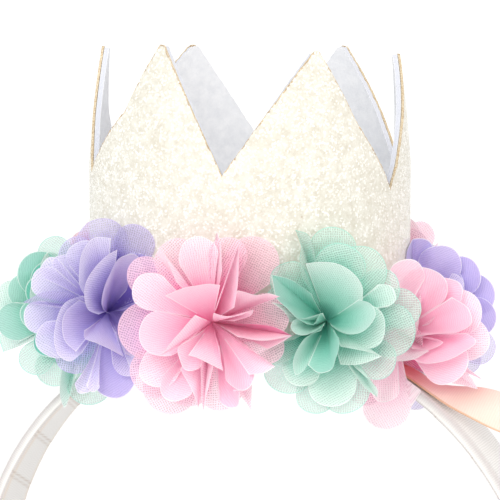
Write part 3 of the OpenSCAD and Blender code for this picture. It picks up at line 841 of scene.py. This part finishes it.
# The drawings, in mm and degrees, with X to the right and Y up. A lobe's row is its tip's X and Y, reach,
# half angle, cup, roll and the sheets of chiffon that lie together there. A fold's row is the sheets and
# the places of its rim: X, Y, the cloth's reach there, and 1 where the rim turns sharply. A reach below
# zero leans away from the viewer.
PINK_FRONT = [
    [11.6, 16.9, 20.8, 24, 15, 0, 1], [4.4, 17.5, 20, 15, 20, 0, 1], [-9.3, 16.9, 20, 19, 20, 0, 1],
    [-17.0, 12.1, 21, 14, 20, 0, 1], [-19.1, -2.0, 20.5, 26, 10, 0, 1], [-15.6, -13.6, 21, 22, 10, 0, 1],
    [-11.8, -18.2, 21.8, 22, 10, 0, 1], [-6.4, -16.9, 19, 20, 10, 0, 1], [2.3, -17.8, 19.5, 18, 10, 0, 1],
    [15.6, 1.7, 18, 22, 15, 0, 1], [14.5, -6.0, 18, 18, 15, 0, 1],
    [-3.3, 17.7, 19.5, 17, 60, 0, 2], [-15.8, 8.4, 20, 15, 35, 0, 2], [-14.5, -3.2, 19.5, 22, 50, -10, 3],
    [-14.0, -11.8, 20, 16, 35, 0, 2], [-9.0, -15.5, 20, 13, 70, 0, 3], [6.4, -13.6, 19, 14, 60, 30, 4],
    [4.8, -17.1, 20, 10, 60, -40, 4], [-5.6, -8.2, 17, 13, 30, 20, 3],
    [2, (0.3, 12.5, 14), (0.6, 16.6, 18), (1.1, 19.0, 19.8, 1), (1.9, 16.4, 18.5), (2.2, 11, 14)],
    [2, (-9.4, 10.5, 14), (-11.4, 14.6, 19.5), (-10.4, 15.2, 20.5), (-7.2, 8.4, 14)],
    [3, (-3.1, 2.0, 19), (-6.6, -1.9, 19.5), (-10.2, -6.3, 20, 1), (-6.8, -5.0, 16)],
    [3, (-6.5, -9.5, 14), (-3.6, -14.6, 18), (-2.7, -17.6, 20, 1), (-2.3, -14.0, 17), (-2.2, -9.0, 14)],
    [2, (-2.0, -10, 14), (-2.1, -14.5, 18), (-1.6, -18.0, 20.5, 1), (-0.8, -14.0, 18), (0.4, -9.0, 14)],
    [2, (4.8, -13.2, 17), (8.2, -18.0, 21, 1), (8.4, -11.5, 16)],
    [3, (7.7, -10.5, 17), (10.6, -10.2, 18.5), (13.1, -8.8, 19.5, 1), (9.9, -6.4, 17.5), (6.4, -4.3, 15)],
    [6, (8.6, 0, 15), (12.6, -0.6, 17), (16.6, -2.5, 19.5, 1), (11.5, -3.4, 18), (5.4, -2.6, 15)],
    [3, (5.4, -2.6, 15.5), (9.8, -3.3, 18.5), (16.6, -2.5, 20, 1), (14.5, -3.8, 19), (11.4, -5.3, 17)],
    [3, (-9.3, 5.8, 19), (-6.4, 7.1, 18.5), (-3.5, 7.8, 18), (-0.6, 8.2, 18), (1.9, 8.0, 18)],
    [3, (5.5, 6.9, 18), (8.9, 6.0, 18.5), (12.2, 6.1, 19), (14.1, 5.6, 20, 1), (10.6, 4.2, 17)],
    [3, (1.2, 3.4, 18), (3.0, 9.2, 19), (5.7, 16.1, 20, 1), (5.6, 11, 18.5), (5.3, 7, 17.5),
     (4.8, 3.4, 16)],
    [3, (0.6, 2.4, 17), (3.1, 1.7, 18), (6.4, 2.1, 18.5), (8.6, 3.0, 19, 1), (8.2, 1.9, 17.5),
     (4.8, 0.6, 15)],
    [3, (-4.6, -6.3, 18), (-3.1, -6.6, 18.2), (-0.6, -7.8, 18.7), (2.5, -9.3, 19.5, 1), (1.7, -5.0, 14)],
]
LAVENDER_FRONT = [
    [-1.0, 20.2, 20.6, 25, 15, 0, 1], [8.0, 19.0, 21, 16, 10, 0, 1], [-7.5, 15.7, 19, 17, 20, 0, 1],
    [-5.5, 15.0, 19, 14, 30, 0, 2], [-13.0, 10.8, 19, 9, 30, 0, 2], [-10.5, 11.8, 18, 8, 40, 0, 2],
    [-15.0, 8.0, 19.5, 12, 35, 0, 2], [-17.3, -1.0, 19.5, 14, 25, 0, 2], [-13.8, -7.0, 19, 16, 20, 0, 2],
    [2.5, -18.0, 20.3, 17, 25, 0, 4], [-5.3, -16.8, 20, 6, 60, 30, 2], [-2.3, -16.5, 20, 5, 60, -30, 2],
    [10.0, 12.0, 17, 24, 20, 0, 4], [13.0, 4.0, 17, 22, 20, 0, 6], [11.0, -6.0, 16, 22, 20, 0, 4],
    [8.0, 5.0, 13, 24, 30, 0, 6],
    [7.5, -12.5, 18, 20, 20, 0, 2], [-9.0, -12.0, 17, 18, 20, 0, 1],
    [1, (-8, 4.6, 13), (-13.0, 4.4, 17), (-17.5, 2.3, 19.5, 1), (-12, 1.6, 17), (-7, 1.4, 13)],
    [2, (-3.4, 3.2, 14.5), (-5.0, 6, 16.5), (-5.0, 9, 18), (-4.3, 13.5, 19.5), (-2.0, 16.0, 20.2),
     (1.5, 16.0, 20.3)],
    [2, (-1.0, -0.2, 14), (-3.1, 0.9, 15.5), (-3.8, 3.0, 16.5), (-3.7, 6, 17.5), (-2.2, 9, 18.5),
     (0.5, 12, 19.5), (3.0, 13.5, 20)],
    [3, (1.4, 0.1, 14.5), (0.3, 0.6, 15.5), (-0.2, 2.0, 16.5), (0.2, 5, 17.5), (1.5, 8.2, 18.5),
     (3.5, 11.8, 19.5), (6.5, 12.5, 20), (8.8, 9.5, 17.5)],
    [2, (-4.6, 3.8, 12.5), (-8, 2.4, 15.5), (-10, -2, 18), (-10.2, -6, 19.5), (-9, -9, 20), (-7, -10, 20),
     (-4.4, -8.2, 17)],
    [3, (-5.2, 2.9, 13.5), (-7.8, 0.6, 16), (-8.6, -2.8, 18), (-7.8, -5.8, 18.8), (-5.6, -7.9, 19)],
    [3, (-3.9, -3.4, 16.5), (-4.0, -4.7, 17.2), (-1, -6.1, 18), (2, -7.6, 18.5), (4.4, -8.9, 19, 1),
     (2.6, -4.0, 14)],
    [2, (4.5, -8.6, 15), (7.4, -9.6, 17, 1), (5.6, -12, 17)],
    [3, (8, 3.0, 14), (12, 1.6, 17), (15.7, 0.7, 20.5, 1), (10, 1.8, 15), (4.5, 1.2, 11)],
]
MINT_FRONT = [
    [1.5, 19.7, 20.4, 20, 10, 0, 1], [9.6, 14.8, 19.8, 24, 10, 0, 1], [3.5, 16.0, 19, 25, 20, 0, 1],
    [14.2, 9.0, 18.5, 16, 20, 0, 1], [13.5, 6.3, 17.5, 9, 30, 0, 2], [19.2, 3.3, 20.4, 15, 15, 0, 1],
    [18.0, -2.6, 19.8, 25, 15, 0, 1], [13.2, -10.4, 18.5, 18, 15, 0, 1], [11.5, -1.5, 16.5, 24, 30, 0, 2],
    [4.5, -18.8, 20.5, 22, 10, 0, 1], [1.0, -17.3, 19.5, 22, 20, 0, 2], [-3.2, -19.1, 20.3, 16, 10, 0, 1],
    [-11.5, -13.5, 19.5, 24, 10, 0, 1], [-7.5, -12.5, 17.5, 18, 20, 0, 2], [-10.5, 11.5, 18, 18, 15, 0, 1],
    [-13.0, 5.0, 16, 18, 15, 0, 1],
    [1, (-5.3, 9, 13), (-5.9, 13, 16.5), (-5.6, 16, 18.5), (-6.7, 19.2, 20.7, 1), (-4.2, 18.2, 20),
     (-3.0, 15, 18.5)],
    [2, (-4.7, 12.2, 16), (-2, 12.5, 17), (1.5, 12.2, 18), (4.7, 10.5, 18), (6.8, 7.5, 17), (7, 4.7, 15)],
    [3, (0.6, -0.6, 12), (2, -1.7, 13.5), (4, -2.3, 15), (6.5, -1.8, 16.5), (8.6, 0, 18), (9.4, 2, 19),
     (8.6, 3.8, 18.5), (6.0, 4.9, 17)],
    [4, (-1.7, 2.0, 12), (-3.5, -0.4, 13.5), (-6, 0.6, 15), (-9, 3.4, 17), (-10.8, 5.0, 18.5),
     (-11.5, 8, 19.5), (-11.8, 9.9, 20, 1), (-8, 9, 17), (-3.6, 6.0, 13)],
    [2, (-7.9, 0, 13), (-9, 2, 16), (-11.8, 4.3, 19.5, 1), (-9.5, 3.6, 16), (-7, 1.4, 13)],
    [3, (-1.2, 2.0, 12), (-5.5, 0.9, 15), (-7.4, 0.4, 16), (-7.9, -0.8, 16.5), (-7.0, -2.1, 16.5),
     (-5.3, -2.5, 16), (-3.2, -1.8, 14.5), (-1.0, -0.6, 12)],
    [3, (-1.6, -1.6, 13), (-4.8, -3, 15.5), (-6.8, -5.8, 17.5), (-7.4, -9, 19.3), (-6.8, -10.6, 20),
     (-5.4, -9.8, 19), (-4.4, -8.4, 17)],
    [4, (-4.4, -8.6, 17), (-2, -10.2, 18.5), (0.5, -9.4, 18), (1.2, -7.3, 17.5), (2, -5, 16.5),
     (2, -3.2, 15.5), (1.0, -1.7, 14)],
    [2, (4.5, -9.5, 13), (7.5, -13.5, 17.5), (10.3, -15.8, 20, 1), (10.3, -14.3, 19.5), (5.5, -9.3, 13)],
    [1, (-7, -3.6, 12), (-11, -4.6, 15), (-14.8, -7, 18.5, 1), (-11.5, -8.8, 18), (-8, -8, 15)],
    [2, (2.5, -5, 12), (8, -6, 15), (11, -7, 17, 1), (6, -8.8, 14), (2.5, -8.7, 13)],
]
PINK_RIGHT = [
    [2.0, 15.7, 19.5, 14, 30, 0, 3.5], [7.5, 13.5, 19, 22, 20, 0, 4], [12.4, 10.6, 19, 12, 20, 0, 4],
    [17.2, 6.0, 20, 20, 15, 0, 2.5], [19.4, -1.6, 20.5, 18, 15, 0, 2], [13.5, -8.0, 19.5, 24, 20, 0, 3.5],
    [-3.3, -20.8, 21.2, 20, 10, 0, 2], [-4.0, -14.5, 17, 14, 20, 0, 2], [-9.0, -15.0, 18, 16, 10, 0, 1],
    [-6.0, 12.0, -17, 18, 20, 0, 1], [4.0, 12.0, -19, 24, 20, 0, 1], [10.0, 4.0, -19, 24, 20, 0, 1],
    [10.0, -7.0, -19, 24, 20, 0, 1], [2.0, -13.0, -18, 24, 20, 0, 1],
    [4, (4, -0.3, 13), (8, 0.3, 16), (12, 0.6, 18), (15, 2.5, 19.5), (14.5, 5.5, 19), (11, 8, 17)],
    [4, (1.5, -4.6, 12), (4.5, -6.0, 14), (8.5, -5.7, 17), (12.5, -4.0, 19), (16, -1.2, 20), (14, 0.3, 18)],
    [2, (12.5, -5.5, 15), (18.1, -9.9, 21.3, 1), (12.5, -7.8, 16)],
    [2, (11, -9.2, 15), (14.8, -8.8, 18), (17.3, -12.1, 21.3, 1), (13.5, -11.2, 18), (9.5, -10.3, 15)],
    [2, (-4.5, -4.0, 13), (-1.5, -5.5, 14), (2.5, -5.2, 14.5), (6.0, -3.5, 14)],
    [4, (2.5, -0.6, 12), (6, -0.6, 13.5), (9, -1.6, 15), (6, -3.2, 13.5), (2.5, -3.0, 12)],
]
MINT_LEFT = [
    [-8.3, 16.0, 18.5, 16, 10, 0, 1], [-13.8, 11.3, 18.5, 24, 10, 0, 4], [-17.2, 5.5, 18.4, 16, 10, 0, 3.5],
    [-20.0, 3.5, 20.5, 14, 10, 0, 2], [-19.5, -3.0, 20.5, 16, 10, 0, 3.5], [-11.0, 9.5, 15.5, 22, 20, 0, 5],
    [-12.5, 5.6, 15.5, 18, 30, 0, 5], [-13.6, -13.2, 19.5, 14, 10, 0, 1], [-9.0, -16.6, 19, 18, 10, 0, 1],
    [1.2, -21.3, 21.5, 20, 10, 0, 1], [-0.5, -12.0, 14, 20, 20, 0, 5], [-14.0, -1.0, 16, 16, 30, 0, 4],
    [-10.0, -9.0, 16, 18, 30, 0, 5], [-12.0, 8.0, -19, 24, 20, 0, 3], [-14.0, -2.0, -19, 24, 20, 0, 3],
    [-9.0, -12.0, -19, 24, 20, 0, 1], [-3.0, 15.0, -18, 20, 20, 0, 1], [-4.0, -4.0, -17, 22, 30, 0, 2],
    [1, (-13, -3, 14), (-19.4, -6.2, 20.4), (-18.4, -9.5, 20.8, 1), (-13.5, -7.6, 16), (-9, -5.5, 12)],
    [2, (-3.5, -9, 11), (-5.2, -15, 17), (-5.4, -20, 21), (-4.6, -22, 22.6), (-3.9, -20.5, 21),
     (-2, -15.5, 17), (0.5, -9, 11)],
    [3, (-5.0, 6.0, 17), (-9.0, 3.0, 18), (-11.0, -1.5, 19), (-8.5, -5.0, 18)],
]
LAVENDER_RIGHT = [
    [1.3, 16.5, 18, 14, 20, 0, 4], [8.0, 14.1, 18.5, 22, 15, 0, 3.5], [14.0, 10.5, 19, 20, 15, 0, 4],
    [18.0, 4.8, 19.5, 20, 15, 0, 4], [18.5, -1.8, 19.5, 18, 15, 0, 4], [18.0, -10.0, 21, 14, 10, 0, 1],
    [13.8, -13.0, 20.3, 12, 10, 0, 1], [0.7, -22.3, 22.5, 15, 10, 0, 2], [10.0, 8.5, 15, 24, 30, 0, 5],
    [12.0, 0.0, 16, 24, 30, 0, 2], [9.0, -9.0, 16, 22, 20, 0, 2], [6.0, 12.0, -19, 24, 20, 0, 1],
    [13.0, 3.0, -20, 24, 20, 0, 1], [12.0, -7.0, -20, 24, 20, 0, 1], [4.0, -13.0, -19, 24, 20, 0, 1],
    [3, (5.0, 8.0, 17), (9.0, 4.0, 18), (11.0, 0, 19), (9.0, -4.5, 18)],
    [3, (6.0, 6.0, -17), (9.0, 3.0, -18), (10.0, -3.0, -19), (7.0, -6.5, -18)],
]
# The tip of a back flower that shows past the front ones
PINK_BEHIND = [[13.9, 14.8, 20.6, 12, 10, 0, 2]]
# The outward face of a flower that the camera sees from its side
OUTWARD = [
    [1.0, 13.5, 15.5, 20, 20, 0, 2], [8.5, 11.5, 16, 20, 20, 0, 2], [13.0, 6.0, 16, 20, 20, 0, 2],
    [14.0, -1.5, 15.8, 20, 20, 0, 2], [10.5, -9.0, 16, 20, 20, 0, 2], [3.5, -13.5, 16, 18, 20, 0, 2],
    [-7.5, 11.5, 16, 20, 20, 0, 2], [-13.0, 6.0, 16, 20, 20, 0, 2], [-13.5, -1.5, 15.5, 18, 20, 0, 1],
    [3.5, 8.0, 15, 20, 50, 15, 3], [8.5, 1.5, 15, 18, 60, -20, 3], [4.5, -7.0, 15, 18, 50, 20, 3],
    [-5.0, 6.5, 15, 18, 60, 20, 3], [-7.5, -0.5, 15, 16, 50, -20, 3],
    [3, (-3, 2, 14.5), (0, 4.5, 15.5), (4.5, 5.5, 16), (6.5, 9.5, 16.5, 1), (2, 7, 15.5)],
    [3, (1, -2, 14.5), (5, -3.5, 15.5), (10.5, -4.5, 16.5, 1), (6, -1, 15), (2, 0.5, 14)],
    [3, (-1, 0.5, 14.5), (-4, -1, 15.5), (-6.5, -4.5, 16.5, 1), (-2.5, -3, 15)],
]
# The flowers round the crown: azimuth, height above the foot in mm, dye, and drawings, each with the
# azimuth that it faces, spin, scale and petals. A flower that the camera sees from its side has a second
# drawing that faces outwards. The flowers at the back repeat a front flower's petals, turned.
front = np.degrees(view_azimuth)
FLOWERS = [[-69, 2.2, "mint", [[front, 0, 1, MINT_LEFT], [-95, 100, 1, OUTWARD]]],
           [-36.6, 4.3, "lavender", [[front, 0, 1, LAVENDER_FRONT]]],
           [7.6, 4.3, "pink", [[front, 0, 1, PINK_FRONT]]],
           [46.0, 4.1, "mint", [[front, 0, 1, MINT_FRONT]]],
           [80, -0.5, "pink", [[front, 0, 1, PINK_RIGHT], [105, 0, 0.76, OUTWARD]]],
           [115, 1.4, "lavender", [[front, 0, 1, LAVENDER_RIGHT], [130, 30, 1, OUTWARD]]],
           [150, 4.0, "pink", [[150, 20, 1, PINK_FRONT], [front, 0, 1, PINK_BEHIND]]],
           [185, 4.5, "mint", [[185, 0, 1, MINT_FRONT]]],
           [220.5, 4.5, "lavender", [[220, -35, 1, PINK_FRONT]]],
           [256, 1.0, "pink", [[256, 150, 1, MINT_FRONT]]]]
for number, (azimuth, height, dye, drawings) in enumerate(FLOWERS, 1):
    flower("flower_%d_chiffon" % number, dye, azimuth, height * MM, drawings, number)

# Label
# A short label of cream satin ribbon. Its root is glued flat to the band under the right pink flower,
# and from there it lifts off, twists upright and reaches out to the right.
label_w = 8.6 * MM
label_t = 0.3 * MM
label_run = 34 * MM
label_start = np.radians(27)
# how far the root lies forward of the band's middle, as a share of band_w, and how high above the band
label_front_share = 0.15
root_lift = 0.25 * MM
# depth of the hollow across the label, as a share of label_w
hollow_share = 0.05
# run as a share of label_run, lift as a share of label_w above the band, twist in degrees
LABEL = [[0, 0, 0], [0.17, 0, 0], [0.34, 0.06, 4], [0.47, 0.26, 22], [0.60, 0.56, 44], [0.72, 0.84, 62],
         [0.82, 1.10, 71], [0.91, 1.25, 75], [1.0, 1.23, 78]]


def ribbon_slab(run_share, across, face):
    """Points of one face of the label: the upper one where face is 0.5, the lower one where it is -0.5.
    The middle line follows the band's circle with the lift added, and the width stands across that line
    at the twist. Across the width the label is hollow like a parabola, deepest halfway along."""
    label_rows = np.array(LABEL)
    lift = smooth_through(label_rows[:, 0], label_rows[:, 1] * label_w, run_share)
    twist = np.radians(smooth_through(label_rows[:, 0], label_rows[:, 2], run_share))
    around = label_start + run_share * label_run / (arch_r + band_t / 2)
    r = arch_r + band_t / 2 + seat_gap + root_lift + lift
    forward = np.full(len(around), -label_front_share * band_w)
    middle = np.stack([r * np.sin(around), forward, leg_h + r * np.cos(around)], -1)
    ahead = np.gradient(middle, axis=0)
    slope = np.arctan2(-ahead[:, 2], ahead[:, 0])
    up = np.stack([np.sin(slope), 0 * slope, np.cos(slope)], -1)
    back = np.array([0, 1.0, 0])
    side = np.cos(twist)[:, None] * back + np.sin(twist)[:, None] * up
    normal = np.cos(twist)[:, None] * up - np.sin(twist)[:, None] * back
    hollow = hollow_share * label_w * np.sin(np.pi * run_share)[:, None] * (1 - (2 * across[None]) ** 2)
    depth = (face * label_t + hollow)[..., None]
    return middle[:, None] + across[None, :, None] * label_w * side[:, None] + depth * normal[:, None]


label_runs = np.linspace(0, 1, 140)
label_across = np.linspace(-0.5, 0.5, 25)
label_faces = [ribbon_slab(label_runs, label_across, 0.5),
               ribbon_slab(label_runs, label_across[::-1], -0.5)]
label_points = np.concatenate(label_faces, axis=1)
label_ends = np.repeat(label_points[[0, -1]].mean(axis=1, keepdims=True), label_points.shape[1], axis=1)
label_points = np.concatenate([label_ends[:1], label_points, label_ends[1:]])
label_reach = np.concatenate([[0], label_runs, [1]]) * label_run
label_side = np.concatenate([label_across, label_across[::-1]]) * label_w
label_flat = np.stack(np.broadcast_arrays(label_reach[:, None], label_side[None]), -1)

# Cream polyester satin ribbon with fine cross ribs, which give it a soft sheen, and a tan stitched hem.
# The pink flower over its root throws a warm red light into it, painted into the colour here as painted
# light that fades to cream. The ribs are drawn at 0.45 mm, twice as coarse as the real ones.
label_rib = 0.45 * MM
# the warm light ends this far along the label at its lower edge, and further by the slant at its upper one
warm_end = 27 * MM
warm_slant = 9 * MM
hem_w = 0.45 * MM
satin_cream, tree = new_material("satin_ribbon_cream")
label_place = add_node(tree, "SeparateXYZ", {"Vector": add_node(tree, "UVMap", uv_map="flat")["UV"]})
label_phase = add_node(tree, "Math", {0: label_place["X"], 1: 2 * np.pi / label_rib},
                       operation="MULTIPLY")[0]
label_ribs = add_node(tree, "Math", {0: label_phase}, operation="SINE")[0]
reach_on = add_node(tree, "MapRange", {"Value": label_place["Y"], "From Min": -0.5 * label_w,
                                       "From Max": 0.5 * label_w, "To Max": warm_slant})[0]
warm_run = add_node(tree, "Math", {0: label_place["X"], 1: reach_on}, operation="SUBTRACT")[0]
warm_share = add_node(tree, "MapRange", {"Value": warm_run, "From Min": -2 * MM, "From Max": warm_end})[0]
# painted light from the pink flower: red at the root, fading to cream along the label
warm_ramp = add_node(tree, "ValToRGB", {"Fac": warm_share})["Color"]
ramp = warm_ramp.node.color_ramp
ramp.elements[0].color = colour("#f46a64")
ramp.elements[1].color = colour("#dfd2c3")
for place, code in ((0.3, "#ffb4a8"), (0.5, "#ffdacd"), (0.7, "#efdbce")):
    ramp.elements.new(place).color = colour(code)
label_bump = add_node(tree, "Bump", {"Height": label_ribs, "Strength": 0.3,
                                     "Distance": 0.05 * MM})["Normal"]
rib_shade = add_node(tree, "MapRange", {"Value": label_ribs, "From Min": -1.0, "To Min": 0.94})[0]
label_colour = add_node(tree, "Mix", {"Factor": 1.0, "A": warm_ramp, "B": rib_shade}, data_type="RGBA",
                        blend_type="MULTIPLY")
on_hem = add_node(tree, "MapRange", {"Value": label_place["Y"], "From Min": hem_w / 3 - 0.5 * label_w,
                                     "From Max": hem_w - 0.5 * label_w, "To Min": 0.7, "To Max": 0.0})[0]
hemmed = add_node(tree, "Mix", {"Factor": on_hem, "A": label_colour["Result"], "B": colour("#cf9a6c")},
                  data_type="RGBA")
label_shader = add_node(tree, "BsdfPrincipled", {"Base Color": hemmed["Result"], "Roughness": 0.4,
                                                 "Sheen Weight": 0.2, "Normal": label_bump})
add_node(tree, "OutputMaterial", {"Surface": label_shader["BSDF"]})

label_quads = grid_quads(*label_points.shape[:2], around=True)[:, ::-1]
label = make_piece("label_satin", label_points.reshape(-1, 3), label_quads, satin_cream,
                   flat=label_flat.reshape(-1, 2), closed=True, sharp=50)
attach(label, "root")
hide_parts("label")
